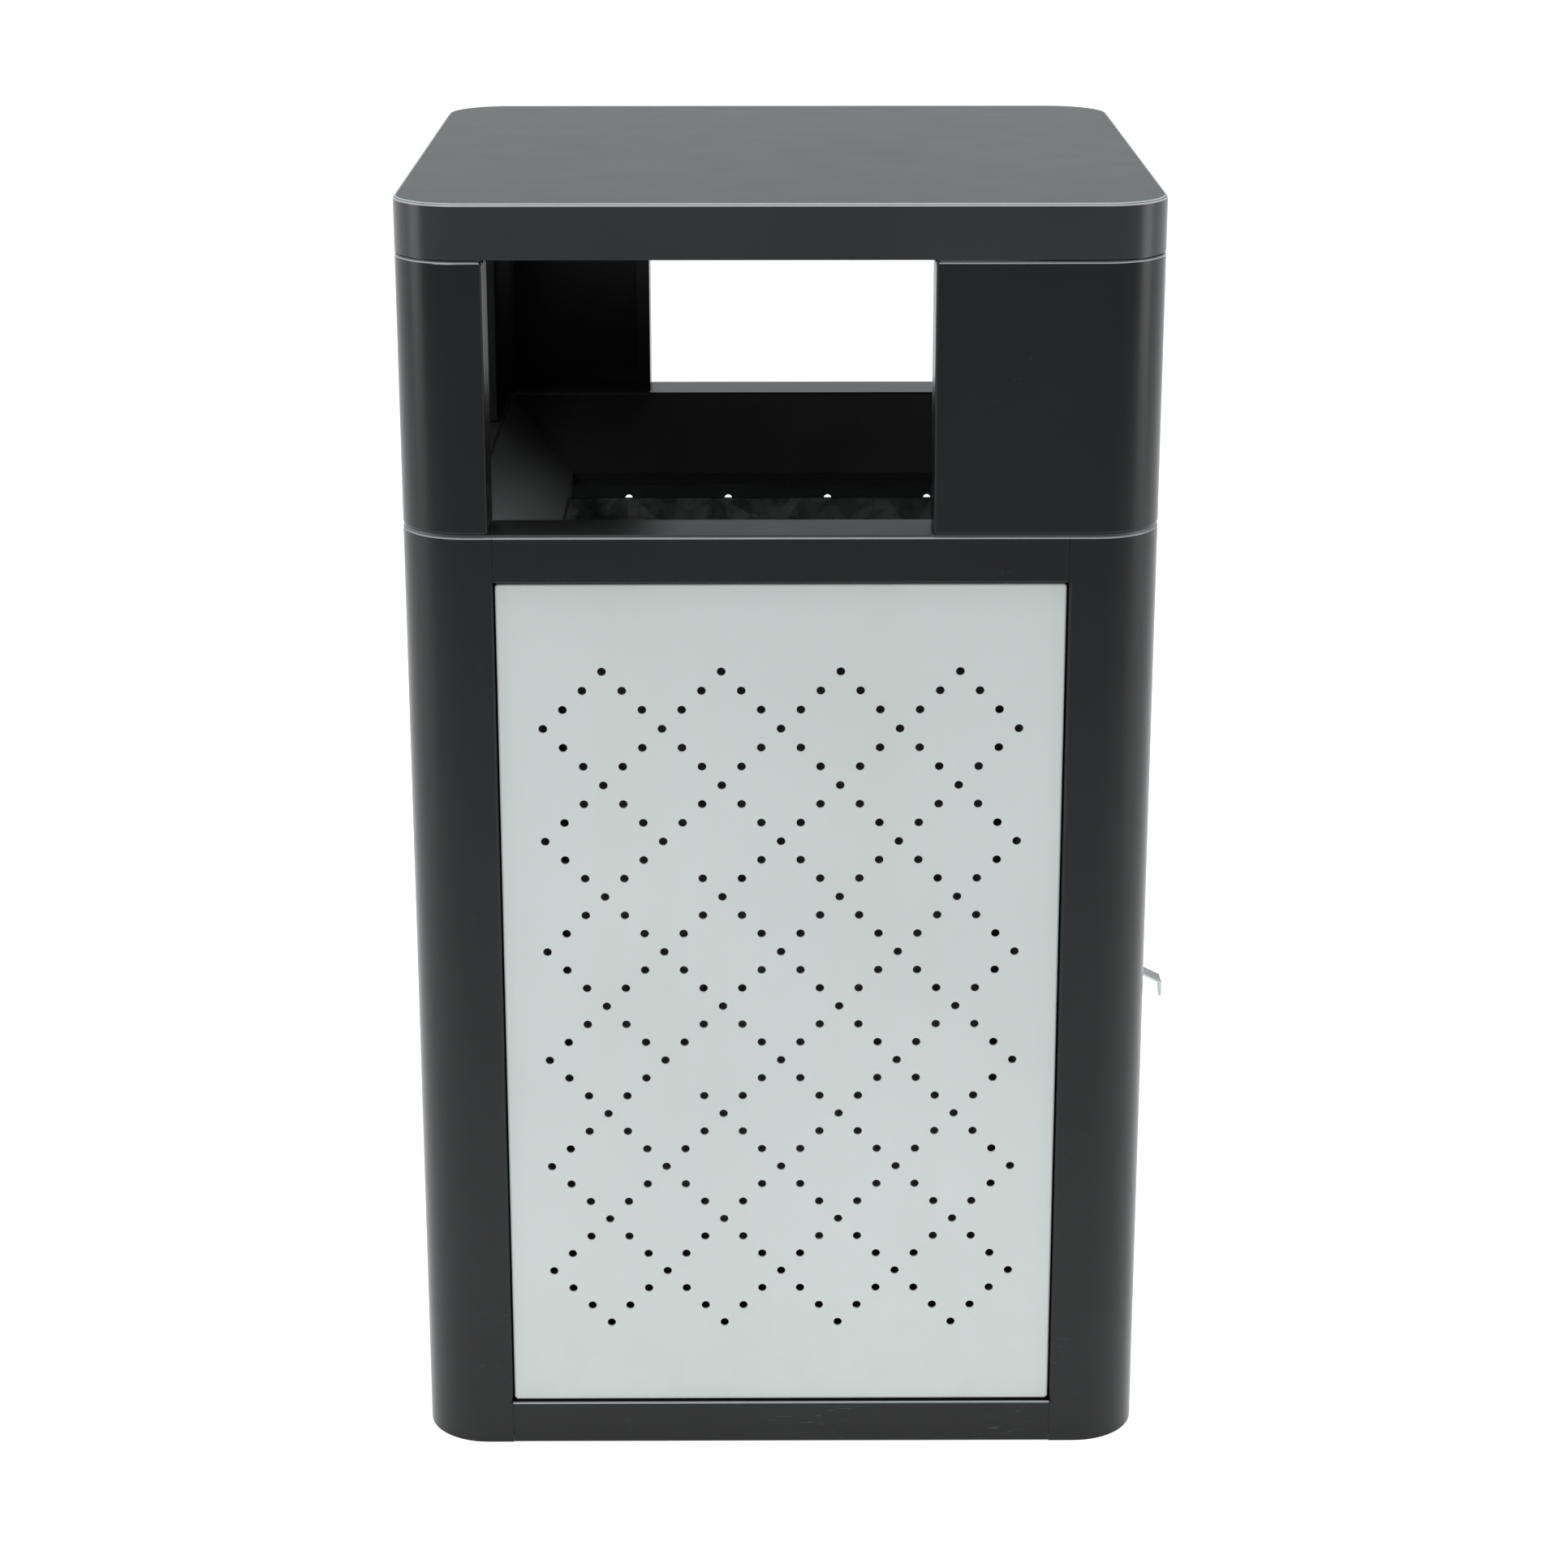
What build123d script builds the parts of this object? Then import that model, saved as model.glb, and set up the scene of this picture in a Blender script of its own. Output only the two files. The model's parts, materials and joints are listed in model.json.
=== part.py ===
from build123d import *
import os

os.makedirs("parts", exist_ok=True)

# A square litter bin of folded sheet steel: a perforated body with a side door, a four-sided
# open hood over a square hopper, a lid, and a lift-out liner. Millimetres, +Z up, front is -Y,
# and the origin is the centre of the footprint on the ground.

# Overall size
PLAN = 456.0                 # outside width and depth
PLAN_RADIUS = 40.0           # plan radius of the four corners
BODY_TOP = 599.2             # top of the body frame
LEDGE_SHEET = 1.6            # hopper sheet, clamped between body and hood
HOOD_TOP = 764.0             # top of the hood posts
LID_GAP = 1.0                # shadow gap under the lid
TOTAL_HEIGHT = 798.0
HALF = PLAN / 2
HOOD_BOTTOM = BODY_TOP + LEDGE_SHEET

# Folded steel
SHEET = 2.0                  # frame, hood and lid sheet
BEND = 2.4                   # outside bend radius of visible edges
TOP_FLANGE = 36.0            # turned-in flanges that carry hopper and hood
BOLT_HOLE = 6.6
BOLT_INSET = 20.0            # bolt line from the outside faces

# Body frame
POST_WING = 56.0             # post width along each side
POST_FLANGE = 20.0           # depth of the flange beside a panel
LIP_WIDTH = 10.0             # stop lip behind a panel
RAIL_HEIGHT = 28.0
SEAM = 0.15                  # seam groove between rail and post
BASE_FLANGE = 45.0           # bottom rail flange that lies on the base plate
RAIL_LIP = 10.0
OPENING = PLAN - 2 * POST_WING
RAIL_TOP_Z = BODY_TOP - RAIL_HEIGHT

# Perforated panels
PANEL_SHEET = 1.5
PANEL_RECESS = 2.5
PANEL_GAP = 1.0
PANEL_LIP = 8.0
PANEL_CORNER = 1.6           # chamfer at the corners of the face
PANEL_EDGE = 1.4             # rounding round the face
HOLE_DIAMETER = 5.3
HOLE_PITCH = 12.0
HOLE_COLUMNS = 25
HOLE_ROWS = 37
HOLE_REPEAT = 6
HOLE_PHASE = 3
BLANK_HOLES = ((7, 10), (7, 22))
STUD_DIAMETER = 5.0
STUD_LENGTH = 12.0
STUD_NUT = 8.0               # across flats
STUD_NUT_HEIGHT = 4.0
STUD_HEIGHTS = (70.0, 299.6, 529.2)
PANEL_BOTTOM = RAIL_HEIGHT + PANEL_GAP
PANEL_HEIGHT = RAIL_TOP_Z - RAIL_HEIGHT - 2 * PANEL_GAP
PANEL_MIDDLE = PANEL_BOTTOM + PANEL_HEIGHT / 2

# Door, hinged at the rear of the right side
DOOR_GAP = 1.25
DOOR_DEPTH = 10.0
PIVOT_FROM_EDGE = 10.0
PIVOT_DEPTH = 4.5            # behind the door's outer face
PIN_DIAMETER = 4.0
PIN_BORE = 4.1
PIN_HOLE = 4.3
PIN_REACH = 9.0              # journal beyond the door's edge
COLLAR_DIAMETER = 5.6
COLLAR_HEIGHT = 4.0
BUSH_DIAMETER = 6.6
BUSH_HOLE = 6.8
BUSH_HEAD = 8.4
BUSH_HEAD_HEIGHT = 0.7
BUFFER_DIAMETER = 8.0
BUFFER_HEIGHTS = (120.0, 480.0)
BUFFER_GAP = 0.3             # between the closed door and its buffers
DOOR_FACE_X = HALF - PANEL_RECESS
PIVOT_X = DOOR_FACE_X - PIVOT_DEPTH
PIVOT_Y = OPENING / 2 - DOOR_GAP - PIVOT_FROM_EDGE

# Lock and pull on the door's front edge
LOCK_Z = 342.0
LOCK_FROM_POST = 19.0
LOCK_BARREL = 16.0
LOCK_HOLE = 16.2
LOCK_BORE = 10.1
LOCK_PLUG = 10.0
LOCK_HEAD = 20.0
LOCK_HEAD_HEIGHT = 1.6
LOCK_NUT = 21.0
CAM_SHEET = 2.5
CAM_WIDTH = 12.0
CAM_REACH = 15.5
CAM_DEPTH = 22.6             # front of the cam behind the side face
CAM_BORE = 6.2
CAM_TAIL = 6.0               # the plug's tail, which drives the cam
CAM_NUT = 10.0
CAM_NUT_HEIGHT = 2.6
LOCK_NUT_HEIGHT = 3.5
KEY_SOCKET = 3.6             # radius of the triangular socket
KEY_DEPTH = 6.0
LOCK_Y = -OPENING / 2 + LOCK_FROM_POST
TAB_WIDTH = 15.0
TAB_SHEET = 1.2
TAB_Y = -HALF + 69.0
TAB_TOP = 320.0
TAB_BEND_Z = 298.9
TAB_REACH = 15.0             # beyond the side face
TAB_TIP_Z = 280.5
TAB_TIP_RADIUS = 6.0
TAB_SLOPE = 0.5              # fall of the sloping part for each millimetre outwards
TAB_RIVET = 4.0
TAB_RIVET_HOLE = 4.4
TAB_RIVET_HEAD = 7.0
TAB_RIVET_HEAD_HEIGHT = 1.2
TAB_RIVET_TAIL = 6.0
TAB_RIVET_TAIL_HEIGHT = 1.4

# Hopper
LEDGE = 38.5                 # flat ledge inside the outer faces
LEDGE_INSET = 0.8
THROAT = 287.0
THROAT_Z = 553.0
COLLAR_DROP = 8.0

# Hood posts, two narrow and two wide
NARROW_WING = 54.0
WIDE_WING = 137.5
HOOD_FLANGE = 36.0
HOOD_LIP = 7.0
NOTCH = 3.2                  # square cutter, set on edge, at each corner of an opening
GUSSET = 52.0                # corner plates inside the lid
RELIEF_HEIGHT = 3.2          # wedge-shaped gap between side flange and shelf
RELIEF_DEPTH = 11.0          # where the gap is widest, behind the face

# Base, liner and its runners
BASE_SHEET = 3.0
BASE_PLATE = 411.0
ANCHOR_PITCH = 260.0
ANCHOR_HOLE = 12.5
DRAIN_HOLE = 10.0
DRAIN_REACH = 55.0
RUNNER_SHEET = 2.0
RUNNER_LENGTH = 360.0
RUNNER_WEB_Y = 150.0
RUNNER_FOOT = 26.0
RUNNER_SHELF = 40.0
STOP_GAP = 1.0               # between the liner and its stop
STOP_FOOT = 22.0
STOP_HEIGHT = 26.0
LINER = 312.0
LINER_RADIUS = 22.0
LINER_SHEET = 1.2
LINER_BOTTOM = 30.0
LINER_TOP = 532.0
RIM_HEIGHT = 9.0
RIM_SHEET = 3.0
HANDLE_WIRE = 6.0
HANDLE_BORE = 6.15
HANDLE_HALF = 50.0
HANDLE_DROP = 43.0
HANDLE_Z = 503.0
HANDLE_BEND = 9.0
LUG_THICKNESS = 9.0
LUG_DEPTH = 13.0
LUG_HEIGHT = 20.0
LUG_GAP = 3.0                # between bail arm and lug
HANDLE_X = LINER / 2 + 7.5

# Fasteners
BOLT = 6.0
BOLT_HEAD = 11.0
BOLT_HEAD_HEIGHT = 3.3
NUT_ACROSS_FLATS = 10.0
NUT_HEIGHT = 5.0
RIVET = 5.0
RIVET_HOLE = 5.4
RIVET_HEAD = 9.5
RIVET_HEAD_HEIGHT = 1.6
RIVET_TAIL = 0.3             # closed end, just above the ground
RIVET_REACH = 100.0          # rivets along each side of the base plate, from its middle
BASE_RIVET = HALF - 34.0
RUNNER_RIVETS = (-150.0, 0.0, 150.0)

SIDES = {"front": 0, "right": 90, "rear": 180, "left": 270}
CORNERS = {"front_left": 0, "front_right": 90, "rear_right": 180, "rear_left": 270}


# ---------------------------------------------------------------- helpers

def block(x, y, z):
    """A box from its lowest and highest x, y and z."""
    size = Box(x[1] - x[0], y[1] - y[0], z[1] - z[0])
    return Pos((x[0] + x[1]) / 2, (y[0] + y[1]) / 2, (z[0] + z[1]) / 2) * size


def rod(diameter, start, end, x, y):
    """An upright cylinder between two heights."""
    return Pos(x, y, (start + end) / 2) * Cylinder(diameter / 2, end - start)


def cross_rod(diameter, start, end, y, z):
    """A cylinder along X between two x values."""
    return Pos((start + end) / 2, y, z) * Rot(0, 90, 0) * Cylinder(diameter / 2, end - start)


def upright(sketch, bottom, top):
    """A plan sketch extruded between two heights."""
    return Pos(0, 0, bottom) * extrude(sketch, top - bottom)


def outline(inset):
    """The rounded square footprint, moved in by a distance."""
    return RectangleRounded(PLAN - 2 * inset, PLAN - 2 * inset, PLAN_RADIUS - inset)


def corner_patch(wing):
    """Footprint of one corner piece at the front left, with sharp free edges."""
    return outline(0) & (Pos(-HALF + wing / 2, -HALF + wing / 2) * Rectangle(wing, wing))


def corner_outline(wing):
    """Footprint of one corner piece at the front left, with rounded free edges."""
    area = corner_patch(wing)
    ends = (Vector(-HALF + wing, -HALF), Vector(-HALF, -HALF + wing))
    sharp = [v for v in area.vertices() if min((Vector(*v) - e).length for e in ends) < 0.01]
    return fillet(sharp, BEND)


def corner_strip(along, depth):
    """A strip beside the front-left corner on both of its sides."""
    size = Rectangle(along[1] - along[0], depth[1] - depth[0])
    front = Pos(-HALF + sum(along) / 2, -HALF + sum(depth) / 2) * size
    return front + swap_sides(front)


def swap_sides(shape):
    """Mirror across the diagonal of the front-left corner."""
    return mirror(shape, about=Plane(origin=(0, 0, 0), z_dir=(1, -1, 0)))


def turn(shape, angle):
    """Turn a piece about the bin's vertical centre line."""
    return Rot(0, 0, angle) * shape


def soften(shape, edges, radius):
    """Round the given edges of a shape."""
    return fillet(ShapeList(edges), radius) if edges else shape


def outer_edges_at(shape, z):
    """Edges at a height that lie on the outside faces or the corner arc."""
    found = []
    for edge in shape.edges():
        box = edge.bounding_box()
        middle = edge @ 0.5
        level = abs(box.min.Z - z) < 0.01 and abs(box.max.Z - z) < 0.01
        on_side = abs(middle.X + HALF) < 0.01 or abs(middle.Y + HALF) < 0.01
        arc = Vector(middle.X + HALF - PLAN_RADIUS, middle.Y + HALF - PLAN_RADIUS, 0)
        on_arc = abs(arc.length - PLAN_RADIUS) < 0.01 and edge.length > PLAN_RADIUS
        if level and (on_side or on_arc):
            found.append(edge)
    return found


def hood_bolt_places():
    """Bolt places at the four corners of the hood."""
    return square_places(HALF - BOLT_INSET)


def nut(z, x, y):
    """A hexagon nut around an upright bolt."""
    shape = RegularPolygon(NUT_ACROSS_FLATS / 2, 6, major_radius=False) - Circle(BOLT_HOLE / 2)
    return Pos(x, y, z) * extrude(shape, NUT_HEIGHT)


def bolt(head_z, tip_z, x, y):
    """An upright button-head bolt with its head above or below the joint."""
    direction = 1 if head_z > tip_z else -1
    head_end = head_z + direction * BOLT_HEAD_HEIGHT
    low, high = sorted((head_z, head_end))
    head = rod(BOLT_HEAD, low, high, x, y)
    rim = head.edges().filter_by(GeomType.CIRCLE).sort_by(Axis.Z)
    head = fillet(rim[-1] if direction > 0 else rim[0], 1.5)
    low, high = sorted((head_z, tip_z))
    return head + rod(BOLT, low, high, x, y)


def write(name, shape):
    """Write one piece, or one group of separate solids, to its own file."""
    solids = shape.solids()
    result = solids[0] if len(solids) == 1 else Compound(children=list(solids))
    result.label = name
    export_step(result, f"parts/{name}.step")


# ---------------------------------------------------------------- body frame

def body_post():
    """Front-left body corner: folded wings, panel flanges, stop lips and a top flange."""
    section = (outline(0) - outline(SHEET)) + corner_strip(
        (POST_WING - SHEET, POST_WING), (0, POST_FLANGE))
    area = corner_patch(POST_WING)
    post = upright(area & section, 0, RAIL_HEIGHT)
    post += upright(corner_outline(POST_WING) & section, RAIL_HEIGHT, RAIL_TOP_Z)
    post += upright(area & section, RAIL_TOP_Z, BODY_TOP)
    lip_depth = (POST_FLANGE, POST_FLANGE + SHEET)
    lips = corner_strip((POST_WING - SHEET, POST_WING + LIP_WIDTH), lip_depth)
    post += upright(lips, RAIL_HEIGHT, RAIL_TOP_Z)
    flange = area & (outline(0) - (outline(0) & inner_square(TOP_FLANGE)))
    post += upright(flange, BODY_TOP - SHEET, BODY_TOP)
    place = -HALF + BOLT_INSET
    post -= rod(BOLT_HOLE, BODY_TOP - 2 * SHEET, BODY_TOP + SHEET, place, place)
    lip_x = -HALF + POST_WING + LIP_WIDTH / 2
    for height in STUD_HEIGHTS:
        hole = Pos(lip_x, -HALF + POST_FLANGE + SHEET / 2, height) * Rot(90, 0, 0) * Cylinder(
            RIVET_HOLE / 2, 3 * SHEET)
        post -= hole + swap_sides(hole)
    return soften(post, outer_edges_at(post, BODY_TOP), 1.2)


def inner_square(inset):
    """A sharp-cornered square inside the footprint."""
    return Rectangle(PLAN - 2 * inset, PLAN - 2 * inset)


def rail_part(half_length, depth, z):
    """One strip of the front rail, from its depth behind the front face."""
    return block((-half_length, half_length), (-HALF + depth[0], -HALF + depth[1]), z)


def rail(top, stop_lip, bush):
    """Front rail between two posts: a folded channel with a stop lip for the panel."""
    half = OPENING / 2
    low = RAIL_TOP_Z if top else 0
    high = low + RAIL_HEIGHT
    outer_depth = TOP_FLANGE if top else BASE_FLANGE
    outer_z = (high - SHEET, high) if top else (BASE_SHEET, BASE_SHEET + SHEET)
    inner_z = (low, low + SHEET) if top else (high - SHEET, high)
    lip_z = (low - RAIL_LIP, low + SHEET) if top else (high - SHEET, high + RAIL_LIP)
    shape = rail_part(half, (0, SHEET), (low, high))
    shape += rail_part(half, (0, outer_depth), outer_z)
    shape += rail_part(half, (0, POST_FLANGE), inner_z)
    if stop_lip:
        shape += rail_part(half - LIP_WIDTH, (POST_FLANGE - SHEET, POST_FLANGE + SHEET), inner_z)
        shape += rail_part(half - LIP_WIDTH, (POST_FLANGE, POST_FLANGE + SHEET), lip_z)
    edges = [e for e in shape.edges().filter_by(Axis.X) if abs((e @ 0.5).Y + HALF) < 0.01]
    shape = soften(shape, edges, 1.2)
    for end in (-half, half - SEAM):
        shape -= block((end, end + SEAM), (-HALF, -HALF + SHEET), (low, high))
    if not top:
        for x in (-RIVET_REACH, RIVET_REACH):
            shape -= rod(RIVET_HOLE, 0, BASE_SHEET + 2 * SHEET, x, -BASE_RIVET)
    if bush:
        middle = (inner_z[0] + inner_z[1]) / 2
        shape -= rod(BUSH_HOLE, middle - SHEET, middle + SHEET, PIVOT_Y, -PIVOT_X)
    return shape


def base_plate():
    """Floor plate on the ground, under the bottom rail flanges, with anchor and drain holes."""
    plate = upright(RectangleRounded(BASE_PLATE, BASE_PLATE, 12), 0, BASE_SHEET)
    for x, y in square_places(ANCHOR_PITCH / 2):
        plate -= rod(ANCHOR_HOLE, -1, BASE_SHEET + 1, x, y)
    for x, y in square_places(DRAIN_REACH):
        plate -= rod(DRAIN_HOLE, -1, BASE_SHEET + 1, x, y)
    for x, y in base_rivet_places() + runner_rivet_places():
        plate -= rod(RIVET_HOLE, -1, BASE_SHEET + 1, x, y)
    return plate


def square_places(reach):
    """The four corners of a centred square."""
    return [(x, y) for x in (-reach, reach) for y in (-reach, reach)]


def base_rivet_places():
    """Two rivets on each side of the base plate."""
    front = [(x, -BASE_RIVET) for x in (-RIVET_REACH, RIVET_REACH)]
    return [(x, y * s) for x, y in front for s in (1, -1)] + [
        (y * s, x) for x, y in front for s in (1, -1)]


def runner_rivet_places():
    """Three rivets along the foot of each liner runner."""
    y = RUNNER_WEB_Y + RUNNER_FOOT / 2 + 4
    return [(x, y * s) for x in RUNNER_RIVETS for s in (1, -1)]


def rivet(x, y, bottom, face):
    """An upright dome-head rivet set from above."""
    head = rod(RIVET_HEAD, face, face + RIVET_HEAD_HEIGHT, x, y)
    head = fillet(head.edges().filter_by(GeomType.CIRCLE).sort_by(Axis.Z)[-1], 1.2)
    return head + rod(RIVET, bottom, face, x, y)


# ---------------------------------------------------------------- panels and door

def hole_places():
    """Diamond lattice of holes: every column and row where a diagonal of either hand passes."""
    places = []
    for column in range(HOLE_COLUMNS):
        for row in range(HOLE_ROWS):
            rising = (column + row) % HOLE_REPEAT == HOLE_PHASE
            falling = (column - row) % HOLE_REPEAT == HOLE_PHASE
            if (rising or falling) and (column, row) not in BLANK_HOLES:
                x = (column - (HOLE_COLUMNS - 1) / 2) * HOLE_PITCH
                z = PANEL_MIDDLE + ((HOLE_ROWS - 1) / 2 - row) * HOLE_PITCH
                places.append((x, z))
    return places


def tray(width, depth):
    """Front panel as a folded tray: face, four returns and a rear lip."""
    face_y = -HALF + PANEL_RECESS
    top = PANEL_BOTTOM + PANEL_HEIGHT
    shape = block((-width / 2, width / 2), (face_y, face_y + depth), (PANEL_BOTTOM, top))
    shape = chamfer(shape.edges().filter_by(Axis.Y), PANEL_CORNER)
    shape = fillet(shape.faces().sort_by(Axis.Y)[0].edges(), PANEL_EDGE)
    inner = width / 2 - PANEL_SHEET
    low = PANEL_BOTTOM + PANEL_SHEET
    high = top - PANEL_SHEET
    hollow = (face_y + PANEL_SHEET, face_y + depth - PANEL_SHEET)
    shape -= block((-inner, inner), hollow, (low, high))
    mouth = inner + PANEL_SHEET - PANEL_LIP
    mouth_z = (PANEL_BOTTOM + PANEL_LIP, top - PANEL_LIP)
    shape -= block((-mouth, mouth), (hollow[1] - 1, face_y + depth + 1), mouth_z)
    drill = Rot(90, 0, 0) * Cylinder(HOLE_DIAMETER / 2, 3 * PANEL_SHEET)
    middle_y = face_y + PANEL_SHEET / 2
    return shape - [Pos(x, middle_y, z) * drill for x, z in hole_places()]


def fixed_panel():
    """Fixed panel, deep enough to stand on the stop lips."""
    return tray(OPENING - 2 * PANEL_GAP, POST_FLANGE - PANEL_RECESS)


def panel_studs():
    """Welded studs and nuts that hold a fixed panel to its stop lips."""
    group = []
    lip_x = OPENING / 2 - LIP_WIDTH / 2
    back = -HALF + POST_FLANGE
    for x in (-lip_x, lip_x):
        for z in STUD_HEIGHTS:
            stud = Pos(x, back + STUD_LENGTH / 2, z) * Rot(90, 0, 0) * Cylinder(
                STUD_DIAMETER / 2, STUD_LENGTH)
            hexagon = RegularPolygon(STUD_NUT / 2, 6, major_radius=False)
            stud += Pos(x, back + SHEET + STUD_NUT_HEIGHT, z) * Rot(90, 0, 0) * extrude(
                hexagon, STUD_NUT_HEIGHT)
            group.append(stud)
    return group


def door():
    """Door tray for the right side, shallower than the panels so that it can swing."""
    shape = turn(tray(OPENING - 2 * DOOR_GAP, DOOR_DEPTH), SIDES["right"])
    shape -= rod(PIN_HOLE, PANEL_BOTTOM - 5, PANEL_BOTTOM + 5, PIVOT_X, PIVOT_Y)
    top = PANEL_BOTTOM + PANEL_HEIGHT
    shape -= rod(PIN_HOLE, top - 5, top + 5, PIVOT_X, PIVOT_Y)
    shape -= cross_rod(LOCK_HOLE, DOOR_FACE_X - DOOR_DEPTH - 5, DOOR_FACE_X + 5, LOCK_Y, LOCK_Z)
    for z in tab_rivet_heights():
        shape -= cross_rod(TAB_RIVET_HOLE, DOOR_FACE_X - 2 * PANEL_SHEET, DOOR_FACE_X + 1, TAB_Y, z)
    return shape


def hinge_pin(upper):
    """Pin with a collar inside the door tray and a journal in the rail's bush."""
    top = PANEL_BOTTOM + PANEL_HEIGHT
    if upper:
        seat = top - PANEL_SHEET
        shape = rod(COLLAR_DIAMETER, seat - COLLAR_HEIGHT, seat, PIVOT_X, PIVOT_Y)
        return shape + rod(PIN_DIAMETER, seat - COLLAR_HEIGHT, top + PIN_REACH, PIVOT_X, PIVOT_Y)
    seat = PANEL_BOTTOM + PANEL_SHEET
    shape = rod(COLLAR_DIAMETER, seat, seat + COLLAR_HEIGHT, PIVOT_X, PIVOT_Y)
    low = PANEL_BOTTOM - PIN_REACH
    return shape + rod(PIN_DIAMETER, low, seat + COLLAR_HEIGHT, PIVOT_X, PIVOT_Y)


def hinge_bush(upper):
    """Flanged bush in the rail flange, its head above the flange."""
    flange = RAIL_TOP_Z if upper else RAIL_HEIGHT - SHEET
    drop = 0.6 if upper else 3.0
    tube = rod(BUSH_DIAMETER, flange - drop, flange + SHEET, PIVOT_X, PIVOT_Y)
    head = rod(BUSH_HEAD, flange + SHEET, flange + SHEET + BUSH_HEAD_HEIGHT, PIVOT_X, PIVOT_Y)
    return tube + head - rod(PIN_BORE, flange - 10, flange + 10, PIVOT_X, PIVOT_Y)


def door_buffers():
    """Rubber buffers on the front post's stop lip, just behind the closed door."""
    back_x = HALF - POST_FLANGE
    front_x = DOOR_FACE_X - DOOR_DEPTH - BUFFER_GAP
    y = -OPENING / 2 + LIP_WIDTH / 2
    group = []
    for z in BUFFER_HEIGHTS:
        buffer = cross_rod(BUFFER_DIAMETER, back_x, front_x, y, z)
        group.append(fillet(buffer.edges().filter_by(GeomType.CIRCLE).sort_by(Axis.X)[-1], 1.2))
    return group


def tab_rivet_heights():
    """Two rivets on the tab's flat foot."""
    return (TAB_TOP - 5, TAB_TOP - 14)


def pull_tab():
    """Folded strip: a foot on the door, a slope out past the side face and a down-turned grip."""
    back = DOOR_FACE_X
    out = HALF + TAB_REACH
    rise = TAB_SHEET * (1 + TAB_SLOPE ** 2) ** 0.5
    low_corner = TAB_BEND_Z - (out - TAB_SHEET - back) * TAB_SLOPE
    high_corner = TAB_BEND_Z - (out - back) * TAB_SLOPE + rise
    high_bend = TAB_BEND_Z - TAB_SHEET * TAB_SLOPE + rise
    outer = [(back, TAB_TOP), (back + TAB_SHEET, TAB_TOP), (back + TAB_SHEET, high_bend)]
    outer += [(out, high_corner), (out, TAB_TIP_Z), (out - TAB_SHEET, TAB_TIP_Z)]
    outer += [(out - TAB_SHEET, low_corner), (back, TAB_BEND_Z)]
    strip = extrude(Plane.XZ * make_face(Polyline(*outer, close=True)), TAB_WIDTH / 2, both=True)
    strip = Pos(0, TAB_Y, 0) * strip
    tips = [e for e in strip.edges().filter_by(Axis.X) if (e @ 0.5).Z < TAB_TIP_Z + 0.1]
    strip = fillet(tips, TAB_TIP_RADIUS)
    bends = [e for e in strip.edges().filter_by(Axis.Y) if abs((e @ 0.5).X - out) < 0.01]
    strip = fillet([e for e in bends if (e @ 0.5).Z > TAB_TIP_Z + 1], TAB_SHEET - 0.2)
    for z in tab_rivet_heights():
        strip -= cross_rod(TAB_RIVET_HOLE, back - 1, back + 2 * TAB_SHEET, TAB_Y, z)
    return strip


def tab_rivets():
    """Rivets through the tab's foot and the door face."""
    group = []
    face = DOOR_FACE_X + TAB_SHEET
    back = DOOR_FACE_X - PANEL_SHEET
    for z in tab_rivet_heights():
        shank = cross_rod(TAB_RIVET, back, face, TAB_Y, z)
        head = cross_rod(TAB_RIVET_HEAD, face, face + TAB_RIVET_HEAD_HEIGHT, TAB_Y, z)
        head = fillet(head.edges().filter_by(GeomType.CIRCLE).sort_by(Axis.X)[-1], 0.9)
        tail = cross_rod(TAB_RIVET_TAIL, back - TAB_RIVET_TAIL_HEIGHT, back, TAB_Y, z)
        group.append(head + shank + tail)
    return group


def lock_barrel():
    """Barrel with its face flange outside the door."""
    face = DOOR_FACE_X + LOCK_HEAD_HEIGHT
    shape = cross_rod(LOCK_HEAD, DOOR_FACE_X, face, LOCK_Y, LOCK_Z)
    shape = fillet(shape.edges().filter_by(GeomType.CIRCLE).sort_by(Axis.X)[-1], 0.7)
    shape += cross_rod(LOCK_BARREL, HALF - CAM_DEPTH + 1.0, DOOR_FACE_X, LOCK_Y, LOCK_Z)
    return shape - cross_rod(LOCK_BORE, HALF - 40, face + 5, LOCK_Y, LOCK_Z)


def lock_nut():
    """Thin hexagon nut that clamps the barrel to the door."""
    profile = RegularPolygon(LOCK_NUT / 2, 6, major_radius=False) - Circle(LOCK_HOLE / 2)
    start = DOOR_FACE_X - PANEL_SHEET - LOCK_NUT_HEIGHT
    return Pos(start, LOCK_Y, LOCK_Z) * Rot(0, 90, 0) * extrude(profile, LOCK_NUT_HEIGHT)


def lock_plug():
    """Turning plug with a triangular key socket, and the tail that drives the cam."""
    face = DOOR_FACE_X + LOCK_HEAD_HEIGHT - 0.4
    shape = cross_rod(LOCK_PLUG, HALF - CAM_DEPTH, face, LOCK_Y, LOCK_Z)
    tail = HALF - CAM_DEPTH - CAM_SHEET - 3
    shape += cross_rod(CAM_TAIL, tail, HALF - CAM_DEPTH, LOCK_Y, LOCK_Z)
    socket = extrude(RegularPolygon(KEY_SOCKET, 3), KEY_DEPTH)
    return shape - Pos(face - KEY_DEPTH, LOCK_Y, LOCK_Z) * Rot(0, 90, 0) * socket


def lock_cam():
    """Cam plate, hanging down at rest (unlocked)."""
    arm = Pos(0, -CAM_REACH / 2) * Rectangle(CAM_WIDTH, CAM_REACH)
    plate = Circle(CAM_WIDTH / 2) + arm
    tips = [v for v in plate.vertices() if v.Y < -CAM_REACH + 0.01]
    plate = fillet(tips, CAM_WIDTH / 3) - Circle(CAM_BORE / 2)
    back = HALF - CAM_DEPTH - CAM_SHEET
    return Pos(back, LOCK_Y, LOCK_Z) * (Plane.YZ * extrude(plate, CAM_SHEET))


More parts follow.
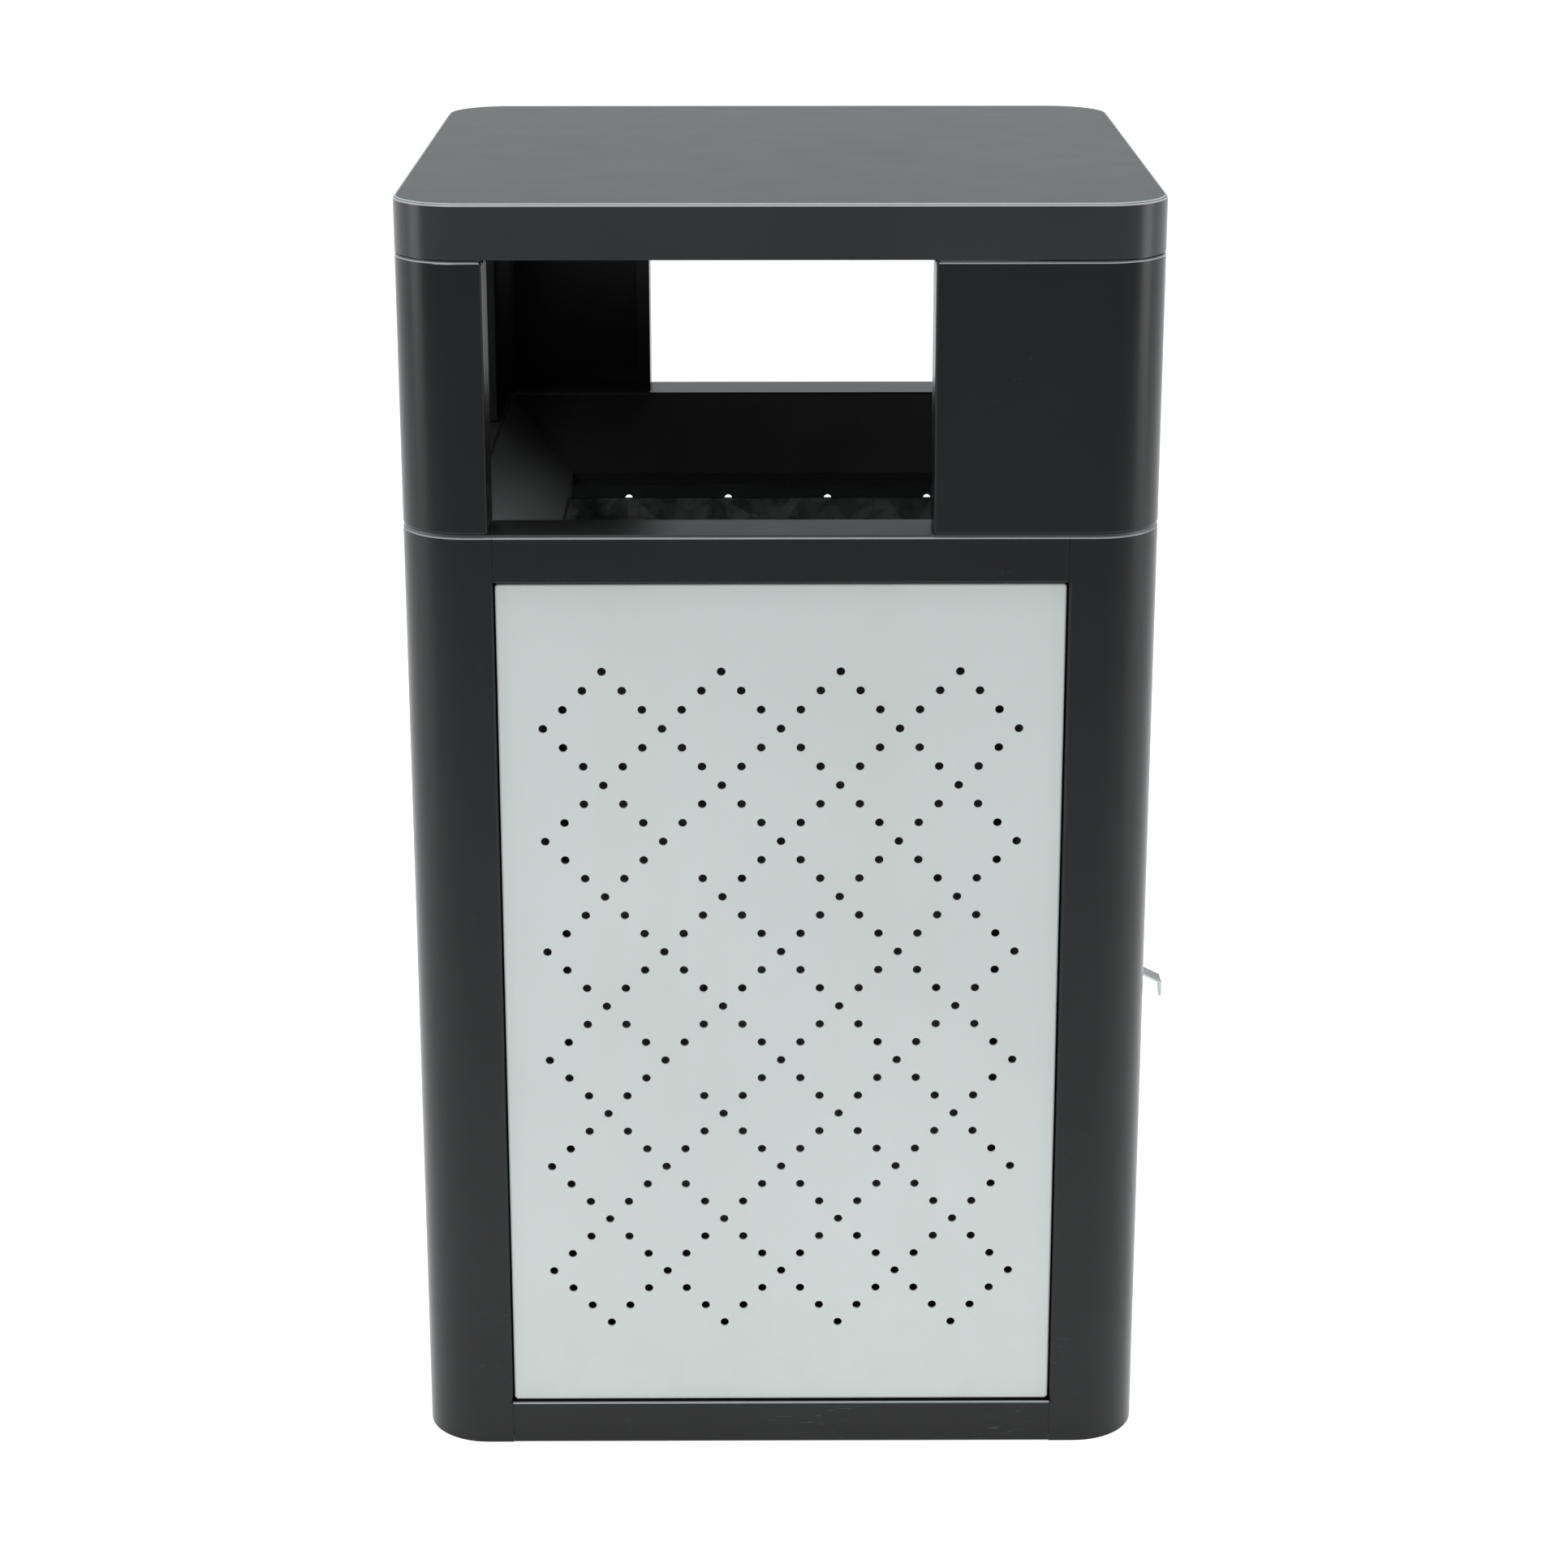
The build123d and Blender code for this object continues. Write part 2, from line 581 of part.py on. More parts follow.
def cam_nut():
    """Small nut that holds the cam on the plug."""
    profile = RegularPolygon(CAM_NUT / 2, 6, major_radius=False) - Circle(CAM_BORE / 2)
    start = HALF - CAM_DEPTH - CAM_SHEET - CAM_NUT_HEIGHT
    return Pos(start, LOCK_Y, LOCK_Z) * Rot(0, 90, 0) * extrude(profile, CAM_NUT_HEIGHT)


# ---------------------------------------------------------------- hopper, hood and lid

def frustum(top_side, top_z, low_side, low_z):
    """A square funnel volume."""
    top = Pos(0, 0, top_z) * Rectangle(top_side, top_side)
    low = Pos(0, 0, low_z) * Rectangle(low_side, low_side)
    return loft([low.face(), top.face()])


def hopper():
    """Flat ledge, four mitred slopes and a short collar round the square throat."""
    mouth = PLAN - 2 * LEDGE
    skin = 2 * LEDGE_SHEET * 2 ** 0.5
    collar = THROAT + skin
    narrowing = (mouth - THROAT) / (HOOD_BOTTOM - THROAT_Z)
    extra = LEDGE_SHEET * narrowing
    ledge = upright(outline(LEDGE_INSET) - Rectangle(mouth, mouth), BODY_TOP, HOOD_BOTTOM)
    outer = frustum(mouth + skin, HOOD_BOTTOM, collar, THROAT_Z)
    outer += upright(Rectangle(collar, collar), THROAT_Z - COLLAR_DROP, THROAT_Z)
    inner = frustum(mouth, HOOD_BOTTOM, THROAT, THROAT_Z)
    inner += upright(Rectangle(THROAT, THROAT), THROAT_Z - COLLAR_DROP - 1, THROAT_Z)
    lowered = outer & upright(Rectangle(PLAN, PLAN), 0, BODY_TOP)
    shape = ledge + (lowered - inner)
    shape -= frustum(mouth, HOOD_BOTTOM, mouth - extra, BODY_TOP)
    for x, y in hood_bolt_places():
        shape -= rod(BOLT_HOLE, BODY_TOP - 5, HOOD_BOTTOM + 5, x, y)
    return shape


def hood_post(wing):
    """Front-left hood post: folded wings, turned-in edges all round, and return lips."""
    area = corner_outline(wing)
    walls = area & (outline(0) - outline(SHEET))
    walls += area & corner_strip((wing - SHEET, wing), (0, HOOD_FLANGE))
    lip_along = (wing - SHEET - HOOD_LIP, wing)
    walls += area & corner_strip(lip_along, (HOOD_FLANGE - SHEET, HOOD_FLANGE))
    post = upright(walls, HOOD_BOTTOM, HOOD_TOP)
    shelf = area & (outline(0) - (outline(0) & inner_square(HOOD_FLANGE)))
    post += upright(shelf, HOOD_BOTTOM, HOOD_BOTTOM + SHEET)
    post += upright(shelf, HOOD_TOP - SHEET, HOOD_TOP)
    edges = outer_edges_at(post, HOOD_BOTTOM) + outer_edges_at(post, HOOD_TOP)
    post = soften(post, edges, 1.6)
    cutter = Rot(0, 45, 0) * Box(NOTCH, 2 * SHEET, NOTCH)
    for z, inward in ((HOOD_BOTTOM, 1), (HOOD_TOP, -1)):
        notch = Pos(-HALF + wing, -HALF, z) * cutter
        gap = flange_relief(wing, z, inward)
        post -= notch + swap_sides(notch)
        post -= gap + swap_sides(gap)
    place = -HALF + BOLT_INSET
    return post - rod(BOLT_HOLE, HOOD_BOTTOM - SHEET, HOOD_TOP + SHEET, place, place)


def flange_relief(wing, z, inward):
    """Wedge cut from one end of a post's side flange, so that it clears the shelf."""
    front = -HALF + BEND
    widest = (-HALF + RELIEF_DEPTH, z + inward * RELIEF_HEIGHT)
    wedge = Polyline((front, z), (-HALF + HOOD_FLANGE, z), widest, close=True)
    return Pos(-HALF + wing - SHEET, 0, 0) * extrude(Plane.YZ * make_face(wedge), SHEET)


def lid():
    """Shallow pan with rounded edges."""
    bottom = HOOD_TOP + LID_GAP
    shape = upright(outline(0), bottom, TOTAL_HEIGHT)
    shape = fillet(shape.faces().sort_by(Axis.Z)[-1].edges(), BEND)
    return shape - upright(outline(SHEET), bottom - 1, TOTAL_HEIGHT - SHEET)


def lid_gusset():
    """Corner plate inside the lid that stands on a hood post."""
    middle = -HALF + GUSSET / 2
    plate = outline(SHEET) & (Pos(middle, middle) * Rectangle(GUSSET, GUSSET))
    plate = upright(plate, HOOD_TOP, HOOD_TOP + SHEET)
    place = -HALF + BOLT_INSET
    return plate - rod(BOLT_HOLE, HOOD_TOP - 1, HOOD_TOP + 3, place, place)


def lid_bolts():
    """Bolts from under the hood post flanges up through the lid's gussets."""
    group = []
    nuts = []
    for x, y in square_places(HALF - BOLT_INSET):
        group.append(bolt(HOOD_TOP - SHEET, HOOD_TOP + SHEET + 8, x, y))
        nuts.append(nut(HOOD_TOP + SHEET, x, y))
    return group, nuts


def hood_bolts():
    """Bolts that clamp hood post, hopper ledge and body frame together."""
    head_z = HOOD_BOTTOM + SHEET
    nut_z = BODY_TOP - SHEET - NUT_HEIGHT
    group = [bolt(head_z, nut_z - 3, x, y) for x, y in hood_bolt_places()]
    return group, [nut(nut_z, x, y) for x, y in hood_bolt_places()]


# ---------------------------------------------------------------- liner

def runner(front):
    """Folded Z runner that lifts the liner level with the door sill."""
    side = -1 if front else 1
    low = BASE_SHEET
    half = RUNNER_LENGTH / 2
    web = sorted((side * RUNNER_WEB_Y, side * (RUNNER_WEB_Y + RUNNER_SHEET)))
    foot = sorted((side * RUNNER_WEB_Y, side * (RUNNER_WEB_Y + RUNNER_FOOT)))
    shelf = sorted((side * (RUNNER_WEB_Y - RUNNER_SHELF), side * (RUNNER_WEB_Y + RUNNER_SHEET)))
    shape = block((-half, half), web, (low, LINER_BOTTOM))
    shape += block((-half, half), foot, (low, low + RUNNER_SHEET))
    shape += block((-half, half), shelf, (LINER_BOTTOM - RUNNER_SHEET, LINER_BOTTOM))
    for x, y in runner_rivet_places():
        if y * side > 0:
            shape -= rod(RIVET_HOLE, low - 1, low + 4, x, y)
    return shape


def liner_stop():
    """Angle across the runners that stops the liner at the back of its travel."""
    x = -LINER / 2 - STOP_GAP
    reach = (-RUNNER_WEB_Y + 5, RUNNER_WEB_Y - 5)
    foot = block((x - STOP_FOOT, x), reach, (LINER_BOTTOM, LINER_BOTTOM + RUNNER_SHEET))
    return foot + block((x - RUNNER_SHEET, x), reach, (LINER_BOTTOM, LINER_BOTTOM + STOP_HEIGHT))


def liner_outline(inset):
    """Plan of the liner, moved in by a distance."""
    side = LINER - 2 * inset
    return RectangleRounded(side, side, LINER_RADIUS - inset)


def liner():
    """Open-topped sheet box."""
    shape = upright(liner_outline(0), LINER_BOTTOM, LINER_TOP)
    shape = fillet(shape.faces().sort_by(Axis.Z)[0].edges(), 3.0)
    return shape - upright(liner_outline(LINER_SHEET), LINER_BOTTOM + LINER_SHEET, LINER_TOP + 1)


def liner_rim():
    """Folded band round the liner's top edge."""
    band = upright(liner_outline(-RIM_SHEET) - liner_outline(0), LINER_TOP - RIM_HEIGHT, LINER_TOP)
    outer = [e for e in band.edges() if e.length > 10 and abs((e @ 0.5).Z - LINER_TOP) < 0.01]
    reach = LINER / 2 + RIM_SHEET
    return soften(band, [e for e in outer if on_liner_edge(e, reach)], 1.3)


def on_liner_edge(edge, reach):
    """True for an edge on the band's outer outline."""
    middle = edge @ 0.5
    radius = LINER_RADIUS + RIM_SHEET
    over_x = max(abs(middle.X) - (reach - radius), 0)
    over_y = max(abs(middle.Y) - (reach - radius), 0)
    return abs((over_x ** 2 + over_y ** 2) ** 0.5 - radius) < 0.05


def handle_lugs(side):
    """Two lugs on the liner wall that carry a bail handle."""
    wall = side * LINER / 2
    out = side * (LINER / 2 + LUG_DEPTH)
    lug_z = (HANDLE_Z - LUG_HEIGHT / 2, HANDLE_Z + LUG_HEIGHT / 2)
    group = []
    for y_side in (-1, 1):
        inner = y_side * (HANDLE_HALF + HANDLE_WIRE / 2 + LUG_GAP)
        outer = inner + y_side * LUG_THICKNESS
        lug = block(sorted((wall, out)), sorted((inner, outer)), lug_z)
        far = [e for e in lug.edges().filter_by(Axis.Y) if abs((e @ 0.5).X - out) < 0.01]
        lug = fillet(far, 5.0)
        bore = Pos(side * HANDLE_X, 0, HANDLE_Z) * Rot(90, 0, 0) * Cylinder(HANDLE_BORE / 2, 300)
        group.append(lug - bore)
    return group


def bail_handle(side):
    """Bent wire handle hanging against the liner, its ends turned out into the lugs."""
    x = side * HANDLE_X
    end = HANDLE_HALF + HANDLE_WIRE / 2 + LUG_GAP + LUG_THICKNESS + 2
    low = HANDLE_Z - HANDLE_DROP
    route = [(x, -end, HANDLE_Z), (x, -HANDLE_HALF, HANDLE_Z), (x, -HANDLE_HALF, low)]
    route += [(x, HANDLE_HALF, low), (x, HANDLE_HALF, HANDLE_Z), (x, end, HANDLE_Z)]
    path = FilletPolyline(*route, radius=HANDLE_BEND / 2)
    start = Plane(origin=route[0], z_dir=(0, 1, 0))
    return sweep(start * Circle(HANDLE_WIRE / 2), path)


# ---------------------------------------------------------------- assembly

def write_frame():
    write("base_plate", base_plate())
    for name, angle in CORNERS.items():
        write(f"body_post_{name}", turn(body_post(), angle))
    for name, angle in SIDES.items():
        hinged = name == "right"
        write(f"top_rail_{name}", turn(rail(True, True, hinged), angle))
        write(f"bottom_rail_{name}", turn(rail(False, not hinged, hinged), angle))
    rivets = [rivet(x, y, RIVET_TAIL, BASE_SHEET + SHEET) for x, y in base_rivet_places()]
    write("base_rivets", Compound(children=rivets))


def write_panels():
    panel = fixed_panel()
    for name in ("front", "rear", "left"):
        write(f"panel_{name}", turn(panel, SIDES[name]))
    studs = [turn(stud, SIDES[name]) for name in ("front", "rear", "left") for stud in panel_studs()]
    write("panel_studs", Compound(children=studs))


def write_door():
    write("door_panel", door())
    write("hinge_pin_upper", hinge_pin(True))
    write("hinge_pin_lower", hinge_pin(False))
    write("hinge_bush_upper", hinge_bush(True))
    write("hinge_bush_lower", hinge_bush(False))
    write("door_buffers", Compound(children=door_buffers()))
    write("pull_tab", pull_tab())
    write("pull_tab_rivets", Compound(children=tab_rivets()))
    write("lock_barrel", lock_barrel())
    write("lock_nut", lock_nut())
    write("lock_plug", lock_plug())
    write("lock_cam", lock_cam())
    write("lock_cam_nut", cam_nut())


def write_top():
    write("hopper", hopper())
    for name, angle in CORNERS.items():
        wing = NARROW_WING if name in ("front_left", "rear_right") else WIDE_WING
        write(f"hood_post_{name}", turn(hood_post(wing), angle))
    write("lid", lid())
    write("lid_gussets", Compound(children=[turn(lid_gusset(), a) for a in CORNERS.values()]))
    bolts, nuts = lid_bolts()
    write("lid_bolts", Compound(children=bolts))
    write("lid_nuts", Compound(children=nuts))
    bolts, nuts = hood_bolts()
    write("hood_bolts", Compound(children=bolts))
    write("hood_nuts", Compound(children=nuts))


def write_liner():
    write("liner", liner())
    write("liner_rim", liner_rim())
    write("runner_front", runner(True))
    write("runner_rear", runner(False))
    face = BASE_SHEET + RUNNER_SHEET
    rivets = [rivet(x, y, RIVET_TAIL, face) for x, y in runner_rivet_places()]
    write("runner_rivets", Compound(children=rivets))
    write("liner_stop", liner_stop())
    for name, side in (("left", -1), ("right", 1)):
        write(f"handle_lugs_{name}", Compound(children=handle_lugs(side)))
        write(f"liner_handle_{name}", bail_handle(side))


write_frame()
write_panels()
write_door()
write_top()
write_liner()
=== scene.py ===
import bpy
import json
import math
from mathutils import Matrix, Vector


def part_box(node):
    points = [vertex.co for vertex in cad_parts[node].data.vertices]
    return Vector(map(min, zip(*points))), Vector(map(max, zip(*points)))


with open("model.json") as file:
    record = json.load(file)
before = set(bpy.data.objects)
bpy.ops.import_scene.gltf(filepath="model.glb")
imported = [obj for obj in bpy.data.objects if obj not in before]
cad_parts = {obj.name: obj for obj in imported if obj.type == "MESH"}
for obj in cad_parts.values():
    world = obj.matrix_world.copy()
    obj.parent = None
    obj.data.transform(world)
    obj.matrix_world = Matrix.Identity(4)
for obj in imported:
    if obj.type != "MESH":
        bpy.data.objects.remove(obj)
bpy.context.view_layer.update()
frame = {"nodes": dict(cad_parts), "record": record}

# A square folded-steel litter bin. Everything is in metres, in the CAD model's frame: the front
# faces -Y, the door is on +X and the ground is z = 0.

MM = 0.001

# Camera: a long lens, above the lid and a little left of the middle
CAMERA_DISTANCE = 2.0        # from the front face
CAMERA_HEIGHT = 1.10
CAMERA_SIDE = -0.010
CAMERA_PITCH = 16.85         # degrees below level
CAMERA_YAW = 0.338           # degrees to the right
CAMERA_LENS = 79.5
CAMERA_SHIFT = -0.05
IMAGE_SENSOR = 36.0

# Colours, linear
BLACK_SHADES = ((0.0052, 0.0054, 0.0060), (0.0078, 0.0080, 0.0088))
PALE_SHADES = ((0.505, 0.548, 0.531, 1), (0.538, 0.582, 0.565, 1))
# Painted highlight: a light tint laid on rounded top edges for the light they catch
EDGE_HIGHLIGHT = (0.40, 0.42, 0.428, 1)
SETTLED_DUST = (0.25, 0.245, 0.235, 1)
LIGHT_SPECK = (0.34, 0.34, 0.33, 1)
DARK_SPECK = (0.25, 0.24, 0.22, 1)
SCUFF = (0.22, 0.22, 0.22, 1)
RAIN_STREAK = (0.44, 0.45, 0.42, 1)
GROUND_DIRT = (0.33, 0.32, 0.29, 1)
BARE_SCRATCH = (0.62, 0.62, 0.62, 1)

# Studio
WORLD_FRONT = 0.32
WORLD_BACK = 1.10
HORIZON = 0.36               # brightness of the band just above the horizon
FRONT_TO_BACK = (-0.9, 0.3)  # view directions along Y between the two brightnesses
BAND_FALL = (0.04, 0.10)     # view directions along Z where the dim band starts
BAND_RISE = (0.20, 0.55)     # and where it ends
SKY = (0.95, 0.985, 1.0, 1)
FLOOR_SIZE = 60.0
# The floor's glow near the bin is painted light; its darker front colour is painted shade
FLOOR_NEAR = (0.83, 0.835, 0.84, 1)
FLOOR_FRONT = (0.60, 0.605, 0.61, 1)
FLOOR_GLOW = 0.44
FLOOR_FADE = (-0.5, -2.2)    # Y between the near and the front colour
LIGHT_TARGET = (0, 0, 0.4)
LIGHTS = (                   # name, place, size, power
    ("top", (0.0, -0.5, 3.0), (2.4, 0.5), 38),
    ("left", (-2.6, -0.5, 1.2), (1.0, 2.2), 15),
    ("right", (2.6, -0.4, 1.2), (1.0, 2.2), 18),
    ("front", (-1.2, -3.0, 2.6), (1.6, 1.6), 36),
)


# ---------------------------------------------------------------- shader helpers

class Shader:
    """One material's node tree, with short helpers for the nodes used here."""

    def __init__(self, name):
        self.material = bpy.data.materials.new(name)
        self.material.use_nodes = True
        tree = self.material.node_tree
        self.nodes = tree.nodes
        self.links = tree.links
        self.surface = self.nodes["Principled BSDF"]
        self.place = self.nodes.new("ShaderNodeTexCoord").outputs["Object"]
        self.height = self.axis(self.place, "Z")

    def link(self, value, socket):
        """Feed a socket from another socket, or set it to a plain value."""
        if isinstance(value, bpy.types.NodeSocket):
            self.links.new(value, socket)
        else:
            socket.default_value = value

    def axis(self, vector, name):
        """One component of a vector."""
        split = self.nodes.new("ShaderNodeSeparateXYZ")
        self.links.new(vector, split.inputs[0])
        return split.outputs[name]

    def stretched(self, scale):
        """Object coordinates scaled by a different amount along each axis."""
        mapping = self.nodes.new("ShaderNodeMapping")
        mapping.inputs["Scale"].default_value = scale
        self.links.new(self.place, mapping.inputs["Vector"])
        return mapping.outputs[0]

    def noise(self, scale, detail=2.0, stretch=(1, 1, 1), distortion=0.0):
        """Fractal noise with a scale in cycles per metre."""
        node = self.nodes.new("ShaderNodeTexNoise")
        self.links.new(self.stretched(stretch), node.inputs["Vector"])
        node.inputs["Scale"].default_value = scale
        node.inputs["Detail"].default_value = detail
        node.inputs["Distortion"].default_value = distortion
        return node.outputs["Fac"]

    def cells(self, scale, output="Distance"):
        """Voronoi cells with a scale in cells per metre."""
        node = self.nodes.new("ShaderNodeTexVoronoi")
        self.links.new(self.place, node.inputs["Vector"])
        node.inputs["Scale"].default_value = scale
        return node.outputs[output]

    def fade(self, value, start, end, low=0.0, high=1.0):
        """Map start..end to low..high, clamped."""
        node = self.nodes.new("ShaderNodeMapRange")
        self.link(value, node.inputs["Value"])
        node.inputs["From Min"].default_value = start
        node.inputs["From Max"].default_value = end
        node.inputs["To Min"].default_value = low
        node.inputs["To Max"].default_value = high
        return node.outputs[0]

    def math(self, operation, a, b):
        """Combine two values."""
        node = self.nodes.new("ShaderNodeMath")
        node.operation = operation
        self.link(a, node.inputs[0])
        self.link(b, node.inputs[1])
        return node.outputs[0]

    def mix(self, factor, a, b):
        """Blend two colours."""
        node = self.nodes.new("ShaderNodeMix")
        node.data_type = "RGBA"
        self.link(factor, node.inputs["Factor"])
        self.link(a, node.inputs[6])
        self.link(b, node.inputs[7])
        return node.outputs[2]

    def both(self, *masks):
        """The product of several masks."""
        result = masks[0]
        for mask in masks[1:]:
            result = self.math("MULTIPLY", result, mask)
        return result

    def tint_over(self, colour, mask, amount, tint):
        """Lay a tint over a colour where a mask shows it."""
        return self.mix(self.math("MULTIPLY", mask, amount), colour, tint)

    def slope(self):
        """The upward part of the surface normal."""
        normal = self.nodes.new("ShaderNodeNewGeometry").outputs["Normal"]
        return self.axis(normal, "Z")

    def facing_up(self):
        """One on level tops, nought on walls."""
        return self.fade(self.slope(), 0.5, 0.95)

    def rounded_top(self):
        """One where a wall rounds over into a top, nought on walls, tops and hopper slopes."""
        slope = self.slope()
        low = self.both(self.fade(slope, 0.12, 0.30), self.fade(slope, 0.66, 0.60))
        high = self.both(self.fade(slope, 0.74, 0.80), self.fade(slope, 0.985, 0.95))
        return self.math("MAXIMUM", low, high)

    def bump(self, height, distance, strength, under=None):
        """A surface normal tilted by a height field, on top of another normal if given."""
        node = self.nodes.new("ShaderNodeBump")
        node.inputs["Distance"].default_value = distance
        node.inputs["Strength"].default_value = strength
        self.link(height, node.inputs["Height"])
        if under is not None:
            self.links.new(under, node.inputs["Normal"])
        return node.outputs["Normal"]

    def finish(self, **sockets):
        """Set the surface's sockets by name, with underscores for spaces."""
        for name, value in sockets.items():
            self.link(value, self.surface.inputs[name.replace("_", " ")])
        return self.material


# ---------------------------------------------------------------- materials

def orange_peel(shader, pitch, depth):
    """The fine dimpled skin of powder coat, with a finer grain under it."""
    grain = shader.bump(shader.noise(2.8 / pitch, 1.0), depth * 0.35, 0.5)
    return shader.bump(shader.noise(1.0 / pitch, 2.0), depth, 0.6, grain)


def dust_specks(shader, density):
    """Sparse light specks: small round dots at the middle of a few cells."""
    dots = shader.fade(shader.cells(420), 0.10, 0.04)
    chosen = shader.fade(shader.noise(37, 2.0), 1 - density, 1 - density + 0.03)
    return shader.both(dots, chosen)


def scuffs(shader, reach):
    """Short fine scratches near the ground, fading out at a height."""
    lines = shader.fade(shader.noise(55, 3.0, (1, 1, 14), 0.6), 0.655, 0.69)
    broken = shader.fade(shader.noise(9, 2.0), 0.5, 0.62)
    low = shader.fade(shader.height, reach, 0.0)
    return shader.both(lines, broken, low)


def black_coat(name, depth, roughness, shine, density):
    """Satin black powder coat: faint mottling, dust, low scuffs and a painted highlight on rounded top
    edges.
    """
    shader = Shader(name)
    mottle = shader.fade(shader.noise(7, 3.0), 0.3, 0.7)
    shades = [[channel * depth for channel in shade] + [1] for shade in BLACK_SHADES]
    colour = shader.mix(mottle, *shades)
    # Painted highlight: the rounded top edges are tinted light for the light they catch.
    colour = shader.tint_over(colour, shader.rounded_top(), 0.8, EDGE_HIGHLIGHT)
    settled = shader.both(shader.facing_up(), shader.fade(shader.noise(90, 5.0), 0.4, 0.75))
    colour = shader.tint_over(colour, settled, 0.006, SETTLED_DUST)
    colour = shader.tint_over(colour, dust_specks(shader, density), 0.32, LIGHT_SPECK)
    colour = shader.tint_over(colour, scuffs(shader, 0.10), 0.30, SCUFF)
    rough = shader.fade(shader.noise(31, 4.0), 0.3, 0.7, roughness, roughness + 0.03)
    return shader.finish(Base_Color=colour, Roughness=rough, Specular_IOR_Level=shine,
                         Normal=orange_peel(shader, 1.3 * MM, 0.035 * MM))


def pale_coat():
    """Pale grey powder coat with very faint clouding and rain streaks."""
    shader = Shader("pale powder coat")
    cloud = shader.fade(shader.noise(5, 3.0), 0.3, 0.7)
    colour = shader.mix(cloud, *PALE_SHADES)
    streak = shader.fade(shader.noise(26, 3.0, (1, 1, 0.06)), 0.52, 0.8)
    colour = shader.tint_over(colour, streak, 0.10, RAIN_STREAK)
    colour = shader.tint_over(colour, dust_specks(shader, 0.30), 0.25, DARK_SPECK)
    near_ground = shader.fade(shader.height, 0.14, 0.03)
    dirt = shader.both(near_ground, shader.fade(shader.noise(40, 4.0), 0.4, 0.7))
    colour = shader.tint_over(colour, dirt, 0.10, GROUND_DIRT)
    rough = shader.fade(shader.noise(23, 4.0), 0.3, 0.7, 0.38, 0.48)
    return shader.finish(Base_Color=colour, Roughness=rough, Specular_IOR_Level=0.45,
                         Normal=orange_peel(shader, 1.2 * MM, 0.025 * MM))


def scratches(shader, scale, stretch):
    """Long thin lines: the narrow band of a stretched noise near its middle value."""
    field = shader.noise(scale, 2.0, stretch, 0.8)
    near = shader.math("ABSOLUTE", shader.math("SUBTRACT", field, 0.5), 0.0)
    return shader.fade(near, 0.006, 0.0)


def galvanised(name, dark, light, wear):
    """Zinc-coated sheet: spangle in two sizes, soft stains and scattered scratches."""
    shader = Shader(name)
    spangle = shader.axis(shader.cells(70, "Color"), "X")
    fine = shader.axis(shader.cells(160, "Color"), "Y")
    tone = shader.math("ADD", shader.math("MULTIPLY", spangle, 0.6), shader.math("MULTIPLY", fine, 0.4))
    colour = shader.mix(shader.fade(tone, 0.15, 0.85), dark, light)
    tint_over = shader.fade(shader.noise(12, 5.0), 0.45, 0.75)
    colour = shader.tint_over(colour, tint_over, 0.35, tuple(c * 0.45 for c in dark[:3]) + (1,))
    marks = shader.math("MAXIMUM", scratches(shader, 22, (1, 1, 3)), scratches(shader, 17, (3, 3, 1)))
    marks = shader.both(marks, shader.fade(shader.noise(30, 3.0), 0.5, 0.7))
    colour = shader.tint_over(colour, marks, wear, BARE_SCRATCH)
    rough = shader.fade(tone, 0.0, 1.0, 0.34, 0.52)
    skin = shader.bump(tone, 0.02 * MM, 0.5)
    skin = shader.bump(marks, -0.03 * MM, 0.6, skin)
    return shader.finish(Base_Color=colour, Roughness=rough, Metallic=1.0, Normal=skin)


def plated(name, base, rough_low, rough_high, grain):
    """Bright zinc or stainless steel with directional grain and handling marks."""
    shader = Shader(name)
    brush = shader.noise(grain, 3.0, (1, 1, 0.05))
    tint = shader.mix(shader.fade(brush, 0.35, 0.65), tuple(c * 0.86 for c in base) + (1,), base + (1,))
    smudge = shader.fade(shader.noise(60, 4.0), 0.4, 0.7)
    rough = shader.fade(smudge, 0.0, 1.0, rough_low, rough_high)
    skin = shader.bump(brush, 0.012 * MM, 0.5)
    return shader.finish(Base_Color=tint, Roughness=rough, Metallic=1.0, Normal=skin)


def rubber():
    """Matt black rubber."""
    shader = Shader("buffer rubber")
    tone = shader.fade(shader.noise(400, 3.0), 0.3, 0.7)
    colour = shader.mix(tone, (0.014, 0.014, 0.014, 1), (0.028, 0.028, 0.027, 1))
    skin = shader.bump(shader.noise(1800, 2.0), 0.05 * MM, 0.5)
    return shader.finish(Base_Color=colour, Roughness=0.75, Normal=skin)


def nylon():
    """Natural nylon, slightly waxy."""
    shader = Shader("nylon")
    tone = shader.fade(shader.noise(500, 3.0), 0.3, 0.7)
    colour = shader.mix(tone, (0.66, 0.64, 0.57, 1), (0.76, 0.74, 0.68, 1))
    return shader.finish(Base_Color=colour, Roughness=0.45)


def make_materials():
    """One material for each of the record's material slots."""
    grey = (0.38, 0.385, 0.39, 1)
    coat = black_coat("black powder coat", 0.9, 0.24, 0.27, 0.36)
    return {
        "black_coat": coat,
        "black_hardware": coat,
        "pale_coat": pale_coat(),
        "galvanised": galvanised("galvanised sheet", (0.22, 0.225, 0.23, 1), grey, 0.8),
        "satin_steel": plated("satin steel", (0.54, 0.55, 0.55), 0.22, 0.32, 900),
        "lock_chrome": plated("lock plating", (0.72, 0.72, 0.73), 0.10, 0.22, 500),
        "zinc_hardware": plated("zinc hardware", (0.60, 0.60, 0.59), 0.28, 0.42, 700),
        "zinc_wire": plated("zinc wire", (0.52, 0.53, 0.54), 0.30, 0.45, 700),
        "buffer_rubber": rubber(),
        "nylon": nylon(),
    }


